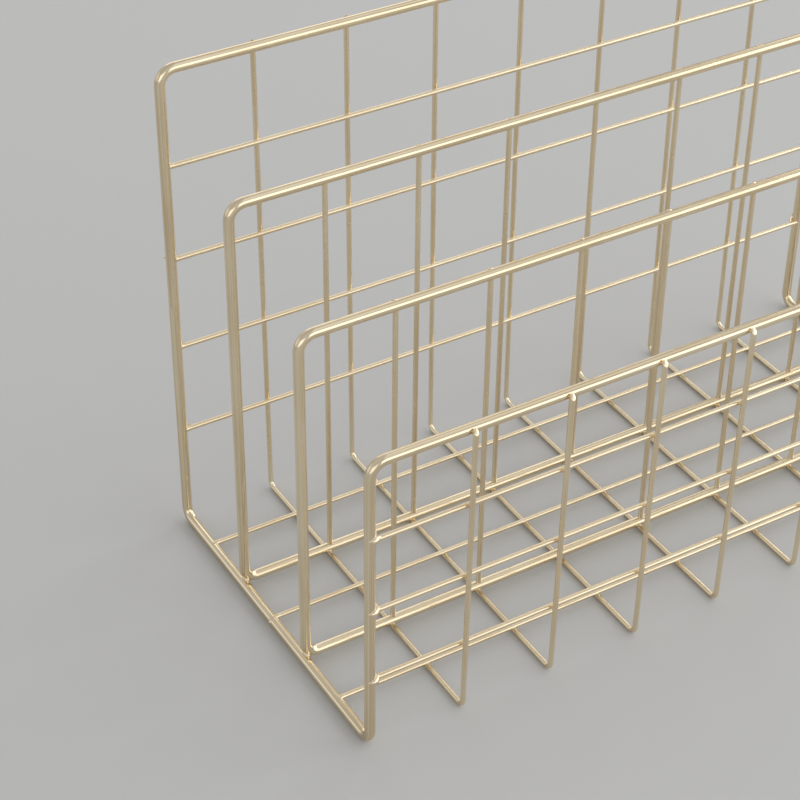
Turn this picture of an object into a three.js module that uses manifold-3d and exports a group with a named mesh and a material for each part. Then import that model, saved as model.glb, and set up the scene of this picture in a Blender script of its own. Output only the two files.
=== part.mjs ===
// A desktop magazine rack of bent and welded round wire: a basket with a tall back, a low front,
// open ends and two dividers. Millimetres, +Z up, X along the rack, Y from the front to the back.
// The origin is on the table, in the middle of the footprint.

import * as THREE from 'three';
import { mergeVertices } from 'three/addons/utils/BufferGeometryUtils.js';
import Module from 'manifold-3d';

const wasm = await Module();
wasm.setup();

// Wire stock
const heavyRadius = 2;
const thinRadius = 1;
const weldGap = 0.3;

// Overall layout, all to wire axes
const railSpan = 306;
const rackDepth = 145.5;
const cells = 8;

// Heights of the top rims' axes above the table
const backRimHeight = 201;
const frontRimHeight = 127;
const rearDividerHeight = 171.7;
const frontDividerHeight = 147;

// Cross wires are spaced downwards from the rim of their panel
const backCrossCount = 4;
const backCrossSpacing = 39;
const frontCrossCount = 3;
const frontCrossSpacing = 32;

// The outer long wires of the floor keep this distance from the rim axes
const floorEdgeDistance = 23;

// The rack has three equal slots, so its two dividers stand at the thirds of the depth
const slots = 3;

// Centre-line radii of the bends
const rimCornerRadius = 6;
const railBendRadius = 5;
const dividerCornerRadius = 6;
const dividerFootRadius = 5;
const profileBendRadius = 3;

// How far the profile wires' cut ends stand above the axes of the two rims
const backEndOverlap = 0.5;
const frontEndOverlap = 1;

// Facets of the round wires
const heavySides = 16;
const thinSides = 12;
const bendSteps = 6;

// Derived places
const railX = railSpan / 2;
const rimY = rackDepth / 2;
const wirePitch = railSpan / cells;
const lapDistance = heavyRadius + thinRadius + weldGap;
const crossDistance = 2 * thinRadius + weldGap;
const dividerBarHeight = 2 * thinRadius + weldGap + heavyRadius;

// Materials: one bright plated finish, a little darker on the thin wire
function platedWire(color, roughness) {
  return new THREE.MeshStandardMaterial({ color, metalness: 1, roughness });
}

// The corner radius of a wire section whose flats are a wire radius away from its axis
function sectionRadius(radius, sides) {
  return radius / Math.cos(Math.PI / sides);
}

// Rings along a bent wire: a list of centres and directions, closer together only in the bends
function wirePath(corners, bendRadii, closed) {
  const stations = [];
  corners.forEach((corner, index) => {
    const isEnd = !closed && (index === 0 || index === corners.length - 1);
    if (isEnd) {
      const other = index === 0 ? corners[1] : corners[index - 1];
      const direction = index === 0 ? other.clone().sub(corner) : corner.clone().sub(other);
      stations.push({ centre: corner, direction: direction.normalize() });
      return;
    }
    const before = corners[(index + corners.length - 1) % corners.length];
    const after = corners[(index + 1) % corners.length];
    const entering = corner.clone().sub(before).normalize();
    const leaving = after.clone().sub(corner).normalize();
    const turn = entering.angleTo(leaving);
    const radius = bendRadii[index];
    const inward = leaving.clone().addScaledVector(entering, -Math.cos(turn)).normalize();
    const bendCentre = corner.clone();
    bendCentre.addScaledVector(entering, -radius * Math.tan(turn / 2));
    bendCentre.addScaledVector(inward, radius);
    for (let step = 0; step <= bendSteps; step++) {
      const angle = (turn * step) / bendSteps;
      const centre = bendCentre.clone();
      centre.addScaledVector(inward, -radius * Math.cos(angle));
      centre.addScaledVector(entering, radius * Math.sin(angle));
      const direction = entering.clone().multiplyScalar(Math.cos(angle));
      direction.addScaledVector(inward, Math.sin(angle));
      stations.push({ centre, direction });
    }
  });
  return stations;
}

// A bent round wire, either a closed loop or an open wire with flat cut ends
function bentWire(corners, bendRadii, wireRadius, sides, closed) {
  const stations = wirePath(corners, bendRadii, closed);
  const radius = sectionRadius(wireRadius, sides);
  const startsAlongX = Math.abs(stations[0].direction.x) > 0.5;
  const firstSide = startsAlongX ? new THREE.Vector3(0, 1, 0) : new THREE.Vector3(1, 0, 0);
  const side = firstSide.clone();
  const positions = [];
  stations.forEach((station, index) => {
    if (index > 0) {
      const previous = stations[index - 1].direction;
      side.applyQuaternion(new THREE.Quaternion().setFromUnitVectors(previous, station.direction));
    }
    const across = station.direction.clone().cross(side);
    for (let corner = 0; corner < sides; corner++) {
      const angle = ((corner + 0.5) * 2 * Math.PI) / sides;
      const point = station.centre.clone();
      point.addScaledVector(side, radius * Math.cos(angle));
      point.addScaledVector(across, radius * Math.sin(angle));
      positions.push(point.x, point.y, point.z);
    }
  });

  const indices = [];
  const joinRings = (from, to, shift) => {
    for (let corner = 0; corner < sides; corner++) {
      const next = (corner + 1) % sides;
      const a = from * sides + corner;
      const b = from * sides + next;
      const c = to * sides + ((next + shift) % sides);
      const d = to * sides + ((corner + shift) % sides);
      indices.push(a, b, c, a, c, d);
    }
  };
  for (let ring = 0; ring + 1 < stations.length; ring++) {
    joinRings(ring, ring + 1, 0);
  }

  const last = stations.length - 1;
  if (closed) {
    // Round a loop that leaves its plane the section comes back turned by whole quarter turns
    const endDirection = stations[last].direction;
    const home = new THREE.Quaternion().setFromUnitVectors(endDirection, stations[0].direction);
    side.applyQuaternion(home);
    const homeAcross = stations[0].direction.clone().cross(firstSide);
    const twist = Math.atan2(side.dot(homeAcross), side.dot(firstSide));
    const shift = Math.round((twist * sides) / (2 * Math.PI));
    joinRings(last, 0, (shift + sides) % sides);
  } else {
    for (let corner = 1; corner + 1 < sides; corner++) {
      indices.push(0, corner + 1, corner);
      indices.push(last * sides, last * sides + corner, last * sides + corner + 1);
    }
  }

  const geometry = new THREE.BufferGeometry();
  geometry.setAttribute('position', new THREE.Float32BufferAttribute(positions, 3));
  geometry.setIndex(indices);
  geometry.computeVertexNormals();
  return geometry;
}

// A straight round bar along X, with flats facing along Y and Z
function straightBar(wireRadius, length, sides) {
  const radius = sectionRadius(wireRadius, sides);
  const bar = new THREE.CylinderGeometry(radius, radius, length, sides, 1, false, Math.PI / sides);
  return bar.rotateZ(-Math.PI / 2);
}

function toSolid(geometry) {
  const bare = geometry.clone();
  bare.deleteAttribute('normal');
  bare.deleteAttribute('uv');
  const welded = mergeVertices(bare);
  return new wasm.Manifold(new wasm.Mesh({
    numProp: 3,
    vertProperties: welded.attributes.position.array,
    triVerts: Uint32Array.from(welded.index.array),
  }));
}

function toGeometry(solid) {
  const mesh = solid.getMesh();
  const geometry = new THREE.BufferGeometry();
  geometry.setAttribute('position', new THREE.BufferAttribute(mesh.vertProperties, 3));
  geometry.setIndex(new THREE.BufferAttribute(mesh.triVerts, 1));
  geometry.computeVertexNormals();
  return geometry;
}

// A thin wire along X between two heavy bars that cross its ends. Both ends are hollowed to fit
// round the bars, whose axes are span apart and lie barOffset beside the wire's own axis, in Z.
function butWire(span, barOffset) {
  let wire = toSolid(straightBar(thinRadius, span - 2 * thinRadius, thinSides));
  for (const end of [-1, 1]) {
    const bar = straightBar(heavyRadius + weldGap, 4 * lapDistance, 2 * heavySides);
    bar.rotateZ(Math.PI / 2);
    bar.translate((end * span) / 2, 0, barOffset);
    wire = wire.subtract(toSolid(bar));
  }
  return toGeometry(wire);
}

const rack = new THREE.Group();

function addWire(group, name, geometry, material) {
  const wire = new THREE.Mesh(geometry, material);
  wire.name = name;
  group.add(wire);
  return wire;
}

// Rim: one heavy wire bent into a closed loop. It runs up and over the back, along the floor as the
// left and right rails, which rest on the table, and up and over the front.
const rimCorners = [
  new THREE.Vector3(-railX, -rimY, heavyRadius),
  new THREE.Vector3(-railX, -rimY, frontRimHeight),
  new THREE.Vector3(railX, -rimY, frontRimHeight),
  new THREE.Vector3(railX, -rimY, heavyRadius),
  new THREE.Vector3(railX, rimY, heavyRadius),
  new THREE.Vector3(railX, rimY, backRimHeight),
  new THREE.Vector3(-railX, rimY, backRimHeight),
  new THREE.Vector3(-railX, rimY, heavyRadius),
];
const rimRadii = rimCorners.map((corner) => (
  corner.z === heavyRadius ? railBendRadius : rimCornerRadius
));
addWire(
  rack,
  'rim_frame',
  bentWire(rimCorners, rimRadii, heavyRadius, heavySides, true),
  platedWire(0xd8c49c, 0.16),
);

// Profile wires: thin wires that run down outside the back rim, along the table and up outside the
// front rim. They lap the rims on the outside and lean in to the rails' line at the floor.
const foldY = rimY + heavyRadius - thinRadius;
const lapY = rimY + lapDistance;
const profileCorners = [
  new THREE.Vector3(0, lapY, backRimHeight + backEndOverlap),
  new THREE.Vector3(0, foldY, thinRadius),
  new THREE.Vector3(0, -foldY, thinRadius),
  new THREE.Vector3(0, -lapY, frontRimHeight + frontEndOverlap),
];
const profileRadii = profileCorners.map(() => profileBendRadius);
for (let i = 1; i < cells; i++) {
  const profile = addWire(
    rack,
    `profile_wire_${i}`,
    bentWire(profileCorners, profileRadii, thinRadius, thinSides, false),
    platedWire(0xcdb78c, 0.2),
  );
  profile.position.x = -railX + i * wirePitch;
}

// Cross wires of the back and the front: each lies inside the leaning profile wires and butts
// against the two uprights of the rim
function addCrossWires(prefix, facing, rimHeight, endOverlap, count, spacing) {
  const lean = (lapY - foldY) / (rimHeight + endOverlap - thinRadius);
  for (let i = 1; i <= count; i++) {
    const height = rimHeight - (count + 1 - i) * spacing;
    const profileY = foldY + lean * (height - thinRadius);
    const wireY = profileY - crossDistance;
    const geometry = butWire(railSpan, rimY - wireY);
    const wire = addWire(rack, `${prefix}_cross_wire_${i}`, geometry, platedWire(0xcdb78c, 0.2));
    wire.rotation.x = (-facing * Math.PI) / 2;
    wire.position.set(0, facing * wireY, height);
  }
}
addCrossWires('back', 1, backRimHeight, backEndOverlap, backCrossCount, backCrossSpacing);
addCrossWires('front', -1, frontRimHeight, frontEndOverlap, frontCrossCount, frontCrossSpacing);

// Long wires of the floor: they lie across the profile wires and butt against the rails
const floorWireHeight = thinRadius + crossDistance;
const floorWireY = [-rimY + floorEdgeDistance, 0, rimY - floorEdgeDistance];
floorWireY.forEach((y, index) => {
  const geometry = butWire(railSpan, heavyRadius - floorWireHeight);
  const wire = addWire(rack, `floor_long_wire_${index + 1}`, geometry, platedWire(0xcdb78c, 0.2));
  wire.position.set(0, y, floorWireHeight);
});

// Dividers: a heavy closed loop whose bar lies across the profile wires and whose lower bends nestle
// against the rails, filled with thin uprights that butt between the bar and the top
const railReach = dividerFootRadius + 2 * heavyRadius + weldGap;
const bendRise = dividerBarHeight + dividerFootRadius - heavyRadius;
const dividerX = railX - (Math.sqrt(railReach ** 2 - bendRise ** 2) - dividerFootRadius);

function addDivider(name, y, height) {
  const divider = new THREE.Group();
  divider.position.y = y;
  rack.add(divider);
  const corners = [
    new THREE.Vector3(-dividerX, 0, dividerBarHeight),
    new THREE.Vector3(-dividerX, 0, height),
    new THREE.Vector3(dividerX, 0, height),
    new THREE.Vector3(dividerX, 0, dividerBarHeight),
  ];
  const radii = [dividerFootRadius, dividerCornerRadius, dividerCornerRadius, dividerFootRadius];
  const loop = bentWire(corners, radii, heavyRadius, heavySides, true);
  addWire(divider, `${name}_divider_frame`, loop, platedWire(0xd8c49c, 0.16));
  const span = height - dividerBarHeight;
  for (let i = 1; i < cells; i++) {
    const geometry = butWire(span, 0);
    const upright = addWire(divider, `${name}_divider_upright_${i}`, geometry, platedWire(0xcdb78c, 0.2));
    upright.rotation.set(Math.PI / 2, 0, Math.PI / 2);
    upright.position.set(-railX + i * wirePitch, 0, dividerBarHeight + span / 2);
  }
}
const slotDepth = rackDepth / slots;
addDivider('front', -rimY + slotDepth, frontDividerHeight);
addDivider('rear', rimY - slotDepth, rearDividerHeight);

export default rack;
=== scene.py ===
import math
import bpy
from mathutils import Matrix, Quaternion, Vector
from mathutils.kdtree import KDTree


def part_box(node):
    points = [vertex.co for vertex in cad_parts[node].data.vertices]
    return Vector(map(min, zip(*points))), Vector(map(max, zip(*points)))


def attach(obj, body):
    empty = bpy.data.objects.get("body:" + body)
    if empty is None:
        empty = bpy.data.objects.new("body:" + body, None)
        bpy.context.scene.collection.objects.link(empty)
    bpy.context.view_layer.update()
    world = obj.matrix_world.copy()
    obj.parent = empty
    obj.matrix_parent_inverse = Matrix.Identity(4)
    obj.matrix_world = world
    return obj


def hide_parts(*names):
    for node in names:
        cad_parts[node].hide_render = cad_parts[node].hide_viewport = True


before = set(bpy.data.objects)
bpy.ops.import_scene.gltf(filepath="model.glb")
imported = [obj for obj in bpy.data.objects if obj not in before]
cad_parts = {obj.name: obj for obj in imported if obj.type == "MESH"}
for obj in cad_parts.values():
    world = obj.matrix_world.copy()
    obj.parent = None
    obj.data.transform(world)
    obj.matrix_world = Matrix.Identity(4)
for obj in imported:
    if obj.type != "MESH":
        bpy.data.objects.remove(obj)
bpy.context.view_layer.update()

# Camera
# It stands where the photographer stood, in front of the rack's left end and well above it.
# Its place is in metres from the middle of the rack's footprint.
camera_place = Vector((-0.42198, -0.53630, 0.55198))
camera_azimuth = math.radians(31.137)
camera_elevation = math.radians(36.674)
camera_roll = math.radians(0.577)
image_width_px = 800
focal_length_px = 2136.4

aim = Vector((
    math.sin(camera_azimuth) * math.cos(camera_elevation),
    math.cos(camera_azimuth) * math.cos(camera_elevation),
    -math.sin(camera_elevation),
))
level_right = Vector((math.cos(camera_azimuth), -math.sin(camera_azimuth), 0))
level_up = level_right.cross(aim)
camera_right = level_right * math.cos(camera_roll) + level_up * math.sin(camera_roll)
camera_up = level_up * math.cos(camera_roll) - level_right * math.sin(camera_roll)

camera_data = bpy.data.cameras.new("camera")
camera_data.sensor_width = 36
camera_data.lens = camera_data.sensor_width * focal_length_px / image_width_px
camera = bpy.data.objects.new("camera", camera_data)
bpy.context.collection.objects.link(camera)
camera_turn = Matrix((camera_right, camera_up, -aim)).transposed()
camera.matrix_world = Matrix.Translation(camera_place) @ camera_turn.to_4x4()
bpy.context.scene.camera = camera
bpy.context.scene.view_settings.view_transform = "Standard"

# Floor
# A plain pale sheet, much wider than the view, that the rack stands on. It is matt, so it takes
# a soft shadow and shows no lamp.
floor_size = 16
floor_colour = (0.56, 0.56, 0.555, 1)

bpy.ops.object.select_all(action="DESELECT")
bpy.ops.mesh.primitive_plane_add(size=floor_size, location=(0, 0, 0))
floor = bpy.context.object
floor.name = "floor"
floor_paint = bpy.data.materials.new("pale_floor")
floor_paint.use_nodes = True
floor_shader = floor_paint.node_tree.nodes["Principled BSDF"]
floor_shader.inputs["Base Color"].default_value = floor_colour
floor_shader.inputs["Roughness"].default_value = 0.7
floor_shader.inputs["Specular IOR Level"].default_value = 0.2
floor.data.materials.append(floor_paint)

# Studio light
# Even light from a plain grey room, and wide soft boxes that stand round the rack. They draw the
# long pale lines on the wires, and the strongest, on the right, gives the floor its shadows.
room_light = 0.54
box_distance = 5
box_power = 4

world = bpy.data.worlds.new("studio")
bpy.context.scene.world = world
world.use_nodes = True
world.node_tree.nodes["Background"].inputs["Color"].default_value = (1, 1, 1, 1)
world.node_tree.nodes["Background"].inputs["Strength"].default_value = room_light


def soft_box(name, azimuth, lowest, highest, half_width, brightness):
    """A rectangular lamp that faces the rack. The angles are in degrees as seen from the rack, and
    azimuth 0 is behind it, 90 to its right. With box_power watts to a square metre, a lamp's face
    is as bright as white."""
    azimuth, middle = math.radians(azimuth), math.radians((lowest + highest) / 2)
    outwards = Vector((
        math.sin(azimuth) * math.cos(middle),
        math.cos(azimuth) * math.cos(middle),
        math.sin(middle),
    ))
    lamp = bpy.data.lights.new(name, "AREA")
    lamp.shape = "RECTANGLE"
    lamp.size = 2 * box_distance * math.tan(math.radians(half_width))
    lamp.size_y = 2 * box_distance * math.tan(math.radians((highest - lowest) / 2))
    lamp.energy = brightness * box_power * lamp.size * lamp.size_y
    box = bpy.data.objects.new(name, lamp)
    bpy.context.collection.objects.link(box)
    facing = outwards.to_track_quat("Z", "Y")
    box.matrix_world = Matrix.Translation(outwards * box_distance) @ facing.to_matrix().to_4x4()
    box.visible_camera = False


soft_box("back_box", 17, 2, 44, 16, 0.55)
soft_box("front_box", 152, 1, 38, 26, 0.8)
soft_box("left_back_box", 302, 2, 30, 24, 0.2)
soft_box("left_front_box", 225, 2, 34, 24, 0.5)
soft_box("right_box", 90, 4, 48, 36, 1.3)
soft_box("top_box", 110, 54, 76, 30, 0.2)

# Rim frame
# One heavy steel wire bent into a closed loop: over the back, along the floor as two rails, over
# the front. It is polished, copper and nickel plated, and flashed with pale brass.
rim_low, rim_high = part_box("rim_frame")
divider_low, divider_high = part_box("rear_divider_frame")
heavy_radius = (divider_high.y - divider_low.y) / 2
rail_x = rim_high.x - heavy_radius
rim_y = rim_high.y - heavy_radius
back_rim_height = rim_high.z - heavy_radius
front_rim_height = 0.127
rim_corner_radius = 0.006
rail_bend_radius = 0.005
heavy_sides = 32
bend_step = math.radians(6)
fewest_bend_steps = 3
lead_in_radii = 2
seam_length = 0.002
merge_distance = 1e-5
smooth_below = math.radians(50)


def die_bend(before, corner, after, bend_radius):
    """Where a bend starts and ends, the centre and axis that the wire turns about, and how far."""
    entering = (corner - before).normalized()
    leaving = (after - corner).normalized()
    turn = entering.angle(leaving)
    reach = bend_radius * math.tan(turn / 2)
    axis = entering.cross(leaving).normalized()
    start = corner - entering * reach
    centre = start + axis.cross(entering) * bend_radius
    return start, corner + leaving * reach, centre, axis, turn


def first_ring(name, centre, along, wire_radius, sides):
    """A new mesh in edit mode, with one open ring of the wire's section, which stays selected."""
    bpy.ops.object.select_all(action="DESELECT")
    wire = bpy.data.objects.new(name, bpy.data.meshes.new(name))
    bpy.context.collection.objects.link(wire)
    bpy.context.view_layer.objects.active = wire
    wire.select_set(True)
    bpy.ops.object.mode_set(mode="EDIT")
    bpy.ops.mesh.primitive_circle_add(
        vertices=sides,
        radius=wire_radius,
        fill_type="NOTHING",
        location=centre,
        rotation=along.to_track_quat("Z", "Y").to_euler(),
    )
    return wire


def feed(step):
    """Draws the selected ring on along a straight run."""
    bpy.ops.mesh.extrude_region_move(TRANSFORM_OT_translate={"value": step})


def swell(centre, factor):
    """Opens or closes the selected ring about its own centre."""
    bpy.ops.transform.resize(value=(factor, factor, factor), center_override=centre)


def mark_wire_space(wire, route, side):
    """Stores, for each point, its place across the wire and its distance along it, so that the
    drawing lines in the plating run with the wire. route lists (centre, direction, turn)."""
    tree = KDTree(len(route))
    frames = []
    distance = 0
    for index, (centre, along, turn) in enumerate(route):
        if index > 0:
            distance += (centre - route[index - 1][0]).length
            side = turn @ side
        tree.insert(centre, index)
        frames.append((centre, side.copy(), along.cross(side), distance))
    tree.balance()
    places = wire.data.attributes.new("wire_space", "FLOAT_VECTOR", "POINT")
    for vertex, place in zip(wire.data.vertices, places.data):
        centre, across, over, distance = frames[tree.find(vertex.co)[1]]
        offset = vertex.co - centre
        place.vector = (offset.dot(across), offset.dot(over), distance)


def form_wire(name, corners, bend_radii, wire_radius, sides, closed):
    """Feeds a wire straight, turns it about the die at each corner, and closes the loop, or leaves
    its two ends open. Rings close to each bend keep the straight runs evenly shaded."""
    count = len(corners)
    still = Quaternion()
    if closed:
        start = (corners[-1] + corners[0]) / 2
        along = (corners[0] - corners[-1]).normalized()
        bends = range(count)
        last = start - along * seam_length
    else:
        start = corners[0]
        along = (corners[1] - corners[0]).normalized()
        bends = range(1, count - 1)
        last = corners[-1]
    wire = first_ring(name, start, along, wire_radius, sides)
    route = [(start, along, still)]

    def run_to(target):
        here = route[-1][0]
        lead = along * wire_radius * lead_in_radii
        for stop in (here + lead, target - lead, target):
            feed(stop - route[-1][0])
            route.append((stop, along, still))

    for corner in bends:
        before = corners[corner - 1]
        after = corners[(corner + 1) % count]
        bend_start, bend_end, centre, axis, turn = die_bend(
            before, corners[corner], after, bend_radii[corner]
        )
        run_to(bend_start)
        steps = max(fewest_bend_steps, round(turn / bend_step))
        bpy.ops.mesh.spin(steps=steps, angle=-turn, center=centre, axis=axis)
        small_turn = Quaternion(axis, turn / steps)
        for _ in range(steps):
            place = centre + small_turn @ (route[-1][0] - centre)
            along = small_turn @ along
            route.append((place, along, small_turn))
    run_to(last)
    if closed:
        feed(along * seam_length)
        bpy.ops.mesh.select_all(action="SELECT")
        bpy.ops.mesh.remove_doubles(threshold=merge_distance)
        finish_mesh(wire)
        mark_wire_space(wire, route, route[0][1].orthogonal().normalized())
    return wire, route


def finish_mesh(piece):
    """Fills open ends, turns the faces outwards, leaves edit mode and smooths all but cut edges."""
    bpy.ops.mesh.select_all(action="SELECT")
    bpy.ops.mesh.fill_holes(sides=0)
    bpy.ops.mesh.normals_make_consistent(inside=False)
    bpy.ops.object.mode_set(mode="OBJECT")
    bpy.ops.object.shade_smooth_by_angle(angle=smooth_below)


def set_socket(tree, socket, term):
    """Sets a socket to a number, or links another node's output to it."""
    if isinstance(term, bpy.types.NodeSocket):
        tree.links.new(term, socket)
    else:
        socket.default_value = term


def noise(tree, coordinates, scale, detail):
    node = tree.nodes.new("ShaderNodeTexNoise")
    tree.links.new(coordinates, node.inputs["Vector"])
    set_socket(tree, node.inputs["Scale"], scale)
    node.inputs["Detail"].default_value = detail
    return node.outputs["Fac"]


def arithmetic(tree, operation, *terms):
    node = tree.nodes.new("ShaderNodeMath")
    node.operation = operation
    for socket, term in zip(node.inputs, terms):
        set_socket(tree, socket, term)
    return node.outputs["Value"]


def spread(tree, value, taken, given):
    """Maps the range taken of a value to the range given, and holds it there beyond its ends."""
    node = tree.nodes.new("ShaderNodeMapRange")
    tree.links.new(value, node.inputs["Value"])
    node.inputs["From Min"].default_value, node.inputs["From Max"].default_value = taken
    node.inputs["To Min"].default_value, node.inputs["To Max"].default_value = given
    return node.outputs["Result"]


# Scales are per metre, the others are shares of tone, dullness and relief.
lines_scale = (1700, 1700, 5)
line_contrast = 3.2
line_dullness = 0.5
line_relief = 1.2
drift_scale = 32
drift_contrast = 1.1
tone_level = -1.65
patch_scale = 90
patch_edge = (0.52, 0.62)
pit_scale = 1500
pit_edge = (0.10, 0.24)
peel_shares = (0.5, 1.8)
dulling = 0.16


def plating_group():
    """The surface that drawing and plating leave on a wire: faint lines along it, a fine peel, a
    few pin holes and slow drifts of tone. Peel and holes are stronger in some patches."""
    group = bpy.data.node_groups.new("plated_wire_surface", "ShaderNodeTree")
    group.interface.new_socket("Peel Size", in_out="INPUT", socket_type="NodeSocketFloat")
    for output in ("Tone", "Dullness", "Height"):
        group.interface.new_socket(output, in_out="OUTPUT", socket_type="NodeSocketFloat")
    entry = group.nodes.new("NodeGroupInput")
    result = group.nodes.new("NodeGroupOutput")
    place = group.nodes.new("ShaderNodeTexCoord").outputs["Object"]
    wire_space = group.nodes.new("ShaderNodeAttribute")
    wire_space.attribute_name = "wire_space"
    stretch = group.nodes.new("ShaderNodeVectorMath")
    stretch.operation = "MULTIPLY"
    stretch.inputs[1].default_value = lines_scale
    group.links.new(wire_space.outputs["Vector"], stretch.inputs[0])
    holes = group.nodes.new("ShaderNodeTexVoronoi")
    holes.inputs["Scale"].default_value = pit_scale
    group.links.new(place, holes.inputs["Vector"])

    lines = noise(group, stretch.outputs["Vector"], 1, 3)
    drift = noise(group, place, drift_scale, 2)
    peel = noise(group, place, entry.outputs["Peel Size"], 2)
    patches = spread(group, noise(group, place, patch_scale, 2), patch_edge, (0, 1))
    hole_depth = spread(group, holes.outputs["Distance"], pit_edge, (1, 0))
    pits = arithmetic(group, "MULTIPLY", hole_depth, patches)

    drift_share = arithmetic(group, "MULTIPLY_ADD", drift, drift_contrast, tone_level)
    tone = arithmetic(group, "MULTIPLY_ADD", lines, line_contrast, drift_share)
    dullness = arithmetic(group, "MULTIPLY_ADD", lines, line_dullness, pits)
    peel_share = spread(group, patches, (0, 1), peel_shares)
    uneven_peel = arithmetic(group, "MULTIPLY", peel, peel_share)
    relief = arithmetic(group, "MULTIPLY_ADD", lines, line_relief, uneven_peel)
    height = arithmetic(group, "SUBTRACT", relief, pits)
    group.links.new(tone, result.inputs["Tone"])
    group.links.new(dullness, result.inputs["Dullness"])
    group.links.new(height, result.inputs["Height"])
    return group


plated_surface = plating_group()


def brass_plating(name, light_tone, deep_tone, polish, peel_size, peel_depth):
    """Bright brass plating between two tones. polish is its least roughness, and peel_depth is in
    metres."""
    material = bpy.data.materials.new(name)
    material.use_nodes = True
    nodes, links = material.node_tree.nodes, material.node_tree.links
    shader = nodes["Principled BSDF"]
    shader.inputs["Metallic"].default_value = 1
    surface = nodes.new("ShaderNodeGroup")
    surface.node_tree = plated_surface
    surface.inputs["Peel Size"].default_value = peel_size
    tones = nodes.new("ShaderNodeMix")
    tones.data_type = "RGBA"
    tones.inputs["A"].default_value = (*deep_tone, 1)
    tones.inputs["B"].default_value = (*light_tone, 1)
    links.new(surface.outputs["Tone"], tones.inputs["Factor"])
    links.new(tones.outputs["Result"], shader.inputs["Base Color"])
    roughness = spread(
        material.node_tree, surface.outputs["Dullness"], (0, 1), (polish, polish + dulling)
    )
    links.new(roughness, shader.inputs["Roughness"])
    bump = nodes.new("ShaderNodeBump")
    bump.inputs["Strength"].default_value = 1
    bump.inputs["Distance"].default_value = peel_depth
    links.new(surface.outputs["Height"], bump.inputs["Height"])
    links.new(bump.outputs["Normal"], shader.inputs["Normal"])
    return material


frame_plating = brass_plating(
    "frame_plating", (0.90, 0.79, 0.58), (0.71, 0.57, 0.37), 0.09, 900, 1.2e-5
)


def place_wire(wire, material, node):
    """Gives a wire its finish and puts it in its node's place on the rack."""
    wire.data.materials.append(material)
    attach(wire, "root")
    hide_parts(node)


rim_corners = [
    Vector((-rail_x, rim_y, heavy_radius)),
    Vector((-rail_x, -rim_y, heavy_radius)),
    Vector((-rail_x, -rim_y, front_rim_height)),
    Vector((rail_x, -rim_y, front_rim_height)),
    Vector((rail_x, -rim_y, heavy_radius)),
    Vector((rail_x, rim_y, heavy_radius)),
    Vector((rail_x, rim_y, back_rim_height)),
    Vector((-rail_x, rim_y, back_rim_height)),
]
rim_radii = [
    rail_bend_radius if corner.z == heavy_radius else rim_corner_radius for corner in rim_corners
]
rim, _ = form_wire("rim_loop", rim_corners, rim_radii, heavy_radius, heavy_sides, closed=True)
place_wire(rim, frame_plating, "rim_frame")


# Profile wires
# Seven thin steel wires that shape the basket: each comes down outside the back rim, runs along
# the table and goes up outside the front rim. They are drawn, cropped, bent and spot welded.
thin_radius = 0.001
thin_sides = 24
weld_gap = 0.0003
cell = rail_x * 2 / 8
profile_count = 7
profile_bend_radius = 0.003
table_y = 0.07375
lap_y = rim_y + heavy_radius + weld_gap + thin_radius
back_profile_top = 0.2015
front_profile_top = 0.1276
crop_slant = math.radians(47)
crop_spare = 0.002
cut_edge = 0.00014

thin_plating = brass_plating(
    "thin_wire_plating", (0.90, 0.79, 0.58), (0.74, 0.60, 0.40), 0.21, 1500, 8e-6
)


def copy_wire(wire, name, move):
    """A copy with a mesh of its own, moved in the mesh, so that its object stays at the origin."""
    twin = wire.copy()
    twin.name = name
    twin.data = wire.data.copy()
    twin.data.transform(Matrix.Translation(move))
    bpy.context.collection.objects.link(twin)
    return twin


def row_of_wires(first, stem, moves, node_stem):
    """Copies the first wire of a row to the others' places, and gives each its finish and node."""
    wires = [first]
    for number, move in enumerate(moves[1:], start=2):
        wires.append(copy_wire(first, f"{stem}_{number}", move - moves[0]))
    for number, wire in enumerate(wires, start=1):
        place_wire(wire, thin_plating, f"{node_stem}_{number}")


grid_x = [-rail_x + cell * (number + 1) for number in range(profile_count)]
back_lean = Vector((0, lap_y - table_y, back_profile_top - thin_radius)).normalized()
front_lean = Vector((0, table_y - lap_y, front_profile_top - thin_radius)).normalized()
profile_corners = [
    Vector((grid_x[0], lap_y, back_profile_top)) + back_lean * crop_spare,
    Vector((grid_x[0], table_y, thin_radius)),
    Vector((grid_x[0], -table_y, thin_radius)),
    Vector((grid_x[0], -lap_y, front_profile_top)) + front_lean * crop_spare,
]
profile, profile_route = form_wire(
    "profile_1", profile_corners, [profile_bend_radius] * 4, thin_radius, thin_sides, closed=False
)


def crop_end(place, facing):
    """Crops the wire by a slanted plane, as side cutters do, and takes the burr off its edge."""
    bpy.ops.mesh.select_all(action="SELECT")
    bpy.ops.mesh.bisect(plane_co=place, plane_no=facing, use_fill=True, clear_outer=True)
    bpy.ops.mesh.bevel(offset=cut_edge, segments=2)


for outwards, top in ((1, back_profile_top), (-1, front_profile_top)):
    facing = Vector((0, outwards * math.sin(crop_slant), math.cos(crop_slant)))
    crop_end(Vector((grid_x[0], outwards * lap_y, top)), facing)
finish_mesh(profile)
mark_wire_space(profile, profile_route, Vector((1, 0, 0)))
row_of_wires(profile, "profile", [Vector((x, 0, 0)) for x in grid_x], "profile_wire")

# Back cross wires
# Four thin wires inside the profile wires of the back. Their ends are butt welded to the heavy
# uprights, where the hot wire was pushed up into a small collar.
back_cross_heights = (0.045, 0.084, 0.123, 0.162)
cross_inset = thin_radius * 2 + weld_gap
collar = ((0.5, 1.14), (0.98, 1.12), (1.1, 1.07), (1.25, 1.02), (1.45, 1.0), (1.9, 1.0))


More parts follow.
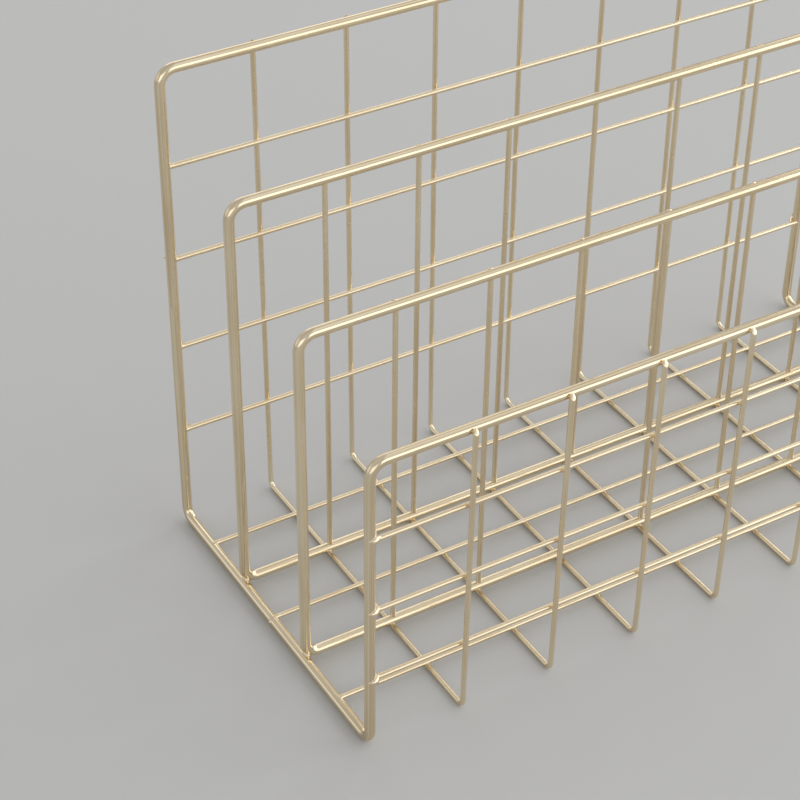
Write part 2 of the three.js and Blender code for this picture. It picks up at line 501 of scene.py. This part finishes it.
def butted_wire(name, start, end):
    """A thin wire between the axes of two heavy wires. Each end sinks into its heavy wire through
    a collar, given in heavy radii from the axis and in thin radii across."""
    along = (end - start).normalized()
    ends = [(start + along * out * heavy_radius, wide) for out, wide in collar]
    ends += [(end - along * out * heavy_radius, wide) for out, wide in reversed(collar)]
    wire = first_ring(name, ends[0][0], along, thin_radius * ends[0][1], thin_sides)
    for (here, wide), (there, next_wide) in zip(ends, ends[1:]):
        feed(there - here)
        swell(there, next_wide / wide)
    finish_mesh(wire)
    route = [(place, along, Quaternion()) for place, _ in ends]
    mark_wire_space(wire, route, along.orthogonal().normalized())
    return wire


def cross_y(height, profile_top):
    """How far from the middle a cross wire lies, inside profile wires that lean to their tops."""
    slope = (lap_y - table_y) / (profile_top - thin_radius)
    return table_y + slope * (height - thin_radius) - cross_inset


def row_across(stem, moves, node_stem):
    """A row of butted wires from one side of the rim frame to the other."""
    reach = Vector((rail_x, 0, 0))
    first = butted_wire(f"{stem}_1", moves[0] - reach, moves[0] + reach)
    row_of_wires(first, stem, moves, node_stem)


back_cross_moves = [
    Vector((0, cross_y(height, back_profile_top), height)) for height in back_cross_heights
]
row_across("back_cross", back_cross_moves, "back_cross_wire")

# Front cross wires
# Three thin wires inside the profile wires of the low front. They are drawn and cropped like the
# back's, and butt welded to the two front uprights.
front_cross_heights = (0.031, 0.063, 0.095)

front_cross_moves = [
    Vector((0, -cross_y(height, front_profile_top), height)) for height in front_cross_heights
]
row_across("front_cross", front_cross_moves, "front_cross_wire")

# Floor long wires
# Three thin wires that lie on the profile wires and are butt welded to the inner sides of the
# rails. Magazines stand on them.
floor_long_height = thin_radius * 3 + weld_gap
floor_long_y = (-0.04975, 0, 0.04975)

floor_long_moves = [Vector((0, y, floor_long_height)) for y in floor_long_y]
row_across("floor_long", floor_long_moves, "floor_long_wire")

# Divider frames
# Two heavy wires bent into upright loops. Their lower bars lie on the profile wires and their
# lower bends rest against the rails. The rear one is the taller.
divider_y = (divider_low.y + divider_high.y) / 2
divider_x = divider_high.x - heavy_radius
divider_bar_height = thin_radius * 2 + weld_gap + heavy_radius
divider_tops = {"rear": 0.1717, "front": 0.147}
divider_planes = {"rear": divider_y, "front": -divider_y}
divider_corner_radius = 0.006
divider_foot_radius = 0.005

for row in ("rear", "front"):
    plane, top = divider_planes[row], divider_tops[row]
    loop, _ = form_wire(
        f"{row}_divider_loop",
        [
            Vector((divider_x, plane, divider_bar_height)),
            Vector((divider_x, plane, top)),
            Vector((-divider_x, plane, top)),
            Vector((-divider_x, plane, divider_bar_height)),
        ],
        [divider_foot_radius, divider_corner_radius, divider_corner_radius, divider_foot_radius],
        heavy_radius,
        heavy_sides,
        closed=True,
    )
    place_wire(loop, frame_plating, f"{row}_divider_frame")

# Divider uprights
# Seven thin wires in each divider, which keep papers from slumping through it. They lie in the
# plane of its loop, butt welded to its bar and its top.
for row in ("rear", "front"):
    plane, top = divider_planes[row], divider_tops[row]
    upright = butted_wire(
        f"{row}_upright_1",
        Vector((grid_x[0], plane, divider_bar_height)),
        Vector((grid_x[0], plane, top)),
    )
    row_of_wires(
        upright,
        f"{row}_upright",
        [Vector((x, 0, 0)) for x in grid_x],
        f"{row}_divider_upright",
    )

# Spot welds
# Each crossing was squeezed between two electrodes until the wires sank together. What shows is a
# small waisted neck between them, a little duller and warmer than the wire.
neck_rings = ((0.85, 0.95), (0.5, 0.86), (0.2, 0.79), (-0.2, 0.79), (-0.5, 0.86), (-0.85, 0.95))
neck_sides = 12
neck_unevenness = 0.05
weld_plating = brass_plating(
    "weld_plating", (0.90, 0.78, 0.58), (0.76, 0.61, 0.42), 0.2, 2200, 1.5e-5
)
lengthwise = Vector((1, 0, 0))
depthwise = Vector((0, 1, 0))
upwards = Vector((0, 0, 1))
half_step = thin_radius + weld_gap / 2


def spot_weld(name, wire_radius, rings):
    """One weld about the origin, upright, sized by the thinner wire that it joins. Its rings are
    given in that wire's radii, as a height and a radius."""
    top, wide = rings[0]
    neck = first_ring(name, upwards * top * wire_radius, upwards, wide * wire_radius, neck_sides)
    for (height, across), (next_height, next_across) in zip(rings, rings[1:]):
        feed(upwards * (next_height - height) * wire_radius)
        swell(upwards * next_height * wire_radius, next_across / across)
    bpy.ops.mesh.select_all(action="SELECT")
    bpy.ops.transform.vertex_random(offset=wire_radius * neck_unevenness, uniform=0.5, seed=3)
    finish_mesh(neck)
    return neck


def join_welds(welds, name):
    """Joins like welds into one piece and gives it its finish."""
    bpy.ops.object.select_all(action="DESELECT")
    for weld in welds:
        weld.select_set(True)
    bpy.context.view_layer.objects.active = welds[0]
    bpy.ops.object.join()
    piece = bpy.context.object
    piece.name = name
    piece.data.materials.append(weld_plating)
    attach(piece, "root")


def set_welds(pattern, name, seats):
    """Copies a weld to each seat, given as a place and the direction through both wires."""
    copies = []
    for place, through in seats:
        twin = pattern.copy()
        twin.data = pattern.data.copy()
        turn = upwards.rotation_difference(through).to_matrix().to_4x4()
        twin.data.transform(Matrix.Translation(place) @ turn)
        bpy.context.collection.objects.link(twin)
        copies.append(twin)
    join_welds(copies, name)


thin_seats = {
    "back_grid_welds": [
        (Vector((x, move.y + half_step, move.z)), depthwise)
        for x in grid_x
        for move in back_cross_moves
    ],
    "front_grid_welds": [
        (Vector((x, move.y - half_step, move.z)), depthwise)
        for x in grid_x
        for move in front_cross_moves
    ],
    "floor_grid_welds": [
        (Vector((x, y, thin_radius + half_step)), upwards) for x in grid_x for y in floor_long_y
    ],
    "divider_bar_welds": [
        (Vector((x, plane, thin_radius + half_step)), upwards)
        for x in grid_x
        for plane in divider_planes.values()
    ],
    "rim_lap_welds": [
        *((Vector((x, lap_y - half_step, back_rim_height)), depthwise) for x in grid_x),
        *((Vector((x, half_step - lap_y, front_rim_height)), depthwise) for x in grid_x),
    ],
}
thin_weld = spot_weld("thin_weld", thin_radius, neck_rings)
for name, seats in thin_seats.items():
    set_welds(thin_weld, name, seats)
bpy.data.objects.remove(thin_weld)

# Divider foot welds
# Four heavier welds where the lower bends of the dividers rest on the rails. The metal was
# pressed out into a small nugget round each contact.
nugget_rings = ((0.8, 0.3), (0.55, 0.66), (0.25, 0.86), (-0.05, 0.9), (-0.35, 0.78), (-0.7, 0.35))
foot_centre = Vector((divider_x - divider_foot_radius, 0, divider_bar_height + divider_foot_radius))
rail_axis = Vector((rail_x, 0, heavy_radius))
foot_through = (foot_centre - rail_axis).normalized()
foot_seat = rail_axis + foot_through * (heavy_radius + weld_gap / 2)

heavy_weld = spot_weld("heavy_weld", heavy_radius, nugget_rings)
set_welds(
    heavy_weld,
    "divider_foot_welds",
    [
        (
            Vector((side * foot_seat.x, plane, foot_seat.z)),
            Vector((side * foot_through.x, 0, foot_through.z)),
        )
        for side in (-1, 1)
        for plane in divider_planes.values()
    ],
)
bpy.data.objects.remove(heavy_weld)

# Pressed tips
# The ends of the cross wires run on over the outer faces of the uprights, where the electrode
# pressed each hot tip thin and squeezed a ridge of metal up beside it. Each ring is given by its
# place inwards from the upright's axis, up and outwards, and by its radius.
tip_rings = (
    ((0.0040, 0.0, 0.0), 0.0009),
    ((0.0031, 0.0001, 0.0002), 0.00104),
    ((0.0023, 0.0003, 0.0009), 0.0011),
    ((0.0014, 0.0005, 0.0014), 0.00108),
    ((0.0006, 0.0007, 0.0016), 0.00095),
    ((-0.0003, 0.0009, 0.0017), 0.0007),
    ((-0.0011, 0.0011, 0.0016), 0.00042),
    ((-0.0015, 0.0012, 0.0015), 0.0002),
)
ridge_rings = (
    ((-0.0012, 0.0008, 0.0014), 0.00030),
    ((-0.0004, 0.0013, 0.0016), 0.00052),
    ((0.0005, 0.0019, 0.00165), 0.00062),
    ((0.0012, 0.0026, 0.0015), 0.00052),
    ((0.0016, 0.0034, 0.0012), 0.00034),
    ((0.0018, 0.0043, 0.0009), 0.00014),
)
lapped_rings = 2


def pressed_metal(name, rings, seat, axes, lap, overrun):
    """Draws a tip or a ridge through its rings. axes are the directions inwards along the thin
    wire, beside it, and out of the heavy wire. lap is how far the thin wire's axis lies outside the
    heavy wire's, and overrun is how much further than the rings the metal runs."""
    places = []
    for number, ((inner, beside, out), wide) in enumerate(rings):
        run = overrun * number / (len(rings) - 1)
        lapped_out = out + lap * max(0, 1 - number / lapped_rings)
        place = seat + axes[0] * (inner - run) + axes[1] * beside + axes[2] * lapped_out
        places.append((place, wide))
    along = (places[-1][0] - places[0][0]).normalized()
    piece = first_ring(name, places[0][0], along, places[0][1], neck_sides)
    for (here, wide), (there, next_wide) in zip(places, places[1:]):
        feed(there - here)
        swell(there, next_wide / wide)
    finish_mesh(piece)
    return piece


def set_tips(name, side, face, moves, overruns):
    """Puts a tip and its ridge where each cross wire meets one upright."""
    pieces = []
    axes = (lengthwise * -side, upwards, depthwise * face)
    for move, overrun in zip(moves, overruns):
        seat = Vector((side * rail_x, face * rim_y, move.z))
        lap = abs(move.y) - rim_y
        pieces.append(pressed_metal("tip", tip_rings, seat, axes, lap, overrun))
        pieces.append(pressed_metal("ridge", ridge_rings, seat, axes, 0, 0))
    join_welds(pieces, name)


front_overruns = (0.0001, 0.0003, -0.0002)
back_overruns = (0, -0.0002, 0.0007, 0.0001)
set_tips("front_left_tips", -1, -1, front_cross_moves, front_overruns)
set_tips("front_right_tips", 1, -1, front_cross_moves, front_overruns)
set_tips("back_left_tips", -1, 1, back_cross_moves, back_overruns)
set_tips("back_right_tips", 1, 1, back_cross_moves, back_overruns)

# Floor wire tips
# The ends of the floor's long wires were pressed flat over the tops of the rails. The middle one's
# runs on down the rail's outer side, where it ends in a nub.
floor_tip_rings = (
    ((0.0034, 0.0, 0.0013), 0.00102),
    ((0.0022, 0.0, 0.0013), 0.00108),
    ((0.0013, -0.0001, 0.0013), 0.00106),
    ((0.0004, -0.0002, 0.0013), 0.00100),
    ((-0.0006, -0.0004, 0.00125), 0.00090),
    ((-0.0013, -0.0005, 0.0009), 0.00085),
    ((-0.0018, -0.0007, 0.0006), 0.00070),
    ((-0.0021, -0.0008, 0.00045), 0.00056),
    ((-0.0023, -0.0008, 0.0004), 0.00030),
)
floor_overruns = (-0.0011, 0, -0.0009)

for side, side_name in ((-1, "left"), (1, "right")):
    axes = (lengthwise * -side, depthwise, upwards)
    join_welds(
        [
            pressed_metal(
                "tip", floor_tip_rings, Vector((side * rail_x, y, heavy_radius)), axes, 0, overrun
            )
            for y, overrun in zip(floor_long_y, floor_overruns)
        ],
        f"floor_{side_name}_tips",
    )

# Electrode marks
# Where an upright is butted to a divider's top, the electrode squeezed a low bead of hot metal up
# over the top. It was plated with the rest.
bead_length = 0.0016
bead_width = 0.0010
bead_unevenness = 0.3
bead_rises = {"rear": 0.00014, "front": 0.00034}
bead_through = Vector((0, 0.5, 0.87)).normalized()

for row in ("rear", "front"):
    rise = bead_rises[row]
    bpy.ops.object.select_all(action="DESELECT")
    bpy.ops.mesh.primitive_uv_sphere_add(segments=neck_sides, ring_count=6, radius=1)
    bead = bpy.context.object
    bead.name = "bead"
    bpy.ops.object.mode_set(mode="EDIT")
    bpy.ops.transform.resize(value=(bead_length, bead_width, rise * 2))
    bpy.ops.transform.vertex_random(offset=rise * bead_unevenness, uniform=0.5, seed=5)
    finish_mesh(bead)
    top = Vector((0, divider_planes[row], divider_tops[row]))
    bead_seat = top + bead_through * (heavy_radius - rise)
    set_welds(
        bead,
        f"{row}_divider_beads",
        [(bead_seat + lengthwise * x, bead_through) for x in grid_x],
    )
    bpy.data.objects.remove(bead)
